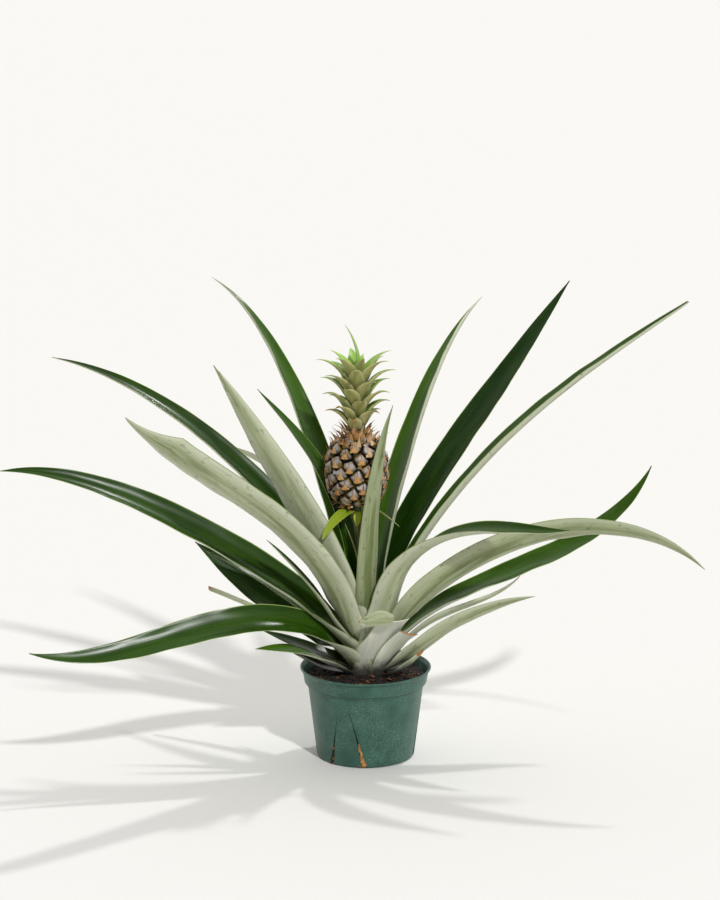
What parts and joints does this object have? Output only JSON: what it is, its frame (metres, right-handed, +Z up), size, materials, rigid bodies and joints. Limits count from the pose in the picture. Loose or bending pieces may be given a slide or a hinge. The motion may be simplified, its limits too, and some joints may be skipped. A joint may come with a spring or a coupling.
{
  "type": "potted pineapple plant",
  "caption": "Pineapple plant with long arching strap leaves and one small fruit on a stalk, growing in a round tapered plastic nursery pot.",
  "frame": {"origin": "middle of the pot's underside", "axes": "+Z up, -Y towards the viewer's side of the plant, +X along the widest spread of the leaves"},
  "size_m": [0.8058, 0.4514, 0.5433],
  "materials": {
    "pot_plastic": "semi-matt teal-green moulded polypropylene, lightly scuffed",
    "potting_mix": "dark brown bark and peat mix",
    "stem_tissue": "pale grey-green plant stem",
    "leaf": "glossy dark green above, pale grey-green and scurfy below",
    "bract": "yellow-green, waxy",
    "fruit_skin": "grey-brown eyes with dry brown bracts",
    "crown_leaf": "olive green, brown at the tips"
  },
  "bodies": {
    "root": {"pot": "pot_plastic", "potting_mix": "potting_mix", "stem": "stem_tissue", "fruit_stalk": "stem_tissue", "fruit": "fruit_skin", "crown_core": "crown_leaf", "leaf_01": "leaf", "leaf_02": "leaf", "leaf_03": "leaf", "leaf_04": "leaf", "leaf_05": "leaf", "leaf_06": "leaf", "leaf_07": "leaf", "leaf_08": "leaf", "leaf_09": "leaf", "leaf_10": "leaf", "leaf_11": "leaf", "leaf_12": "leaf", "leaf_13": "leaf", "leaf_14": "leaf", "leaf_15": "leaf", "leaf_16": "leaf", "leaf_17": "leaf", "leaf_18": "leaf", "leaf_19": "leaf", "leaf_20": "leaf", "leaf_21": "leaf", "leaf_22": "leaf", "leaf_23": "leaf", "leaf_24": "leaf", "leaf_25": "leaf", "leaf_26": "leaf", "leaf_27": "leaf", "leaf_28": "leaf", "leaf_29": "leaf", "leaf_30": "leaf", "bract_left": "bract", "bract_right": "bract", "bract_front": "bract", "stalk_leaf": "bract", "crown_leaf_01": "crown_leaf", "crown_leaf_02": "crown_leaf", "crown_leaf_03": "crown_leaf", "crown_leaf_04": "crown_leaf", "crown_leaf_05": "crown_leaf", "crown_leaf_06": "crown_leaf", "crown_leaf_07": "crown_leaf", "crown_leaf_08": "crown_leaf", "crown_leaf_09": "crown_leaf", "crown_leaf_10": "crown_leaf", "crown_leaf_11": "crown_leaf", "crown_leaf_12": "crown_leaf", "crown_leaf_13": "crown_leaf", "crown_leaf_14": "crown_leaf", "crown_leaf_15": "crown_leaf", "crown_leaf_16": "crown_leaf", "crown_leaf_17": "crown_leaf", "crown_leaf_18": "crown_leaf", "crown_leaf_19": "crown_leaf", "crown_spike": "crown_leaf"}
  },
  "joints": []
}
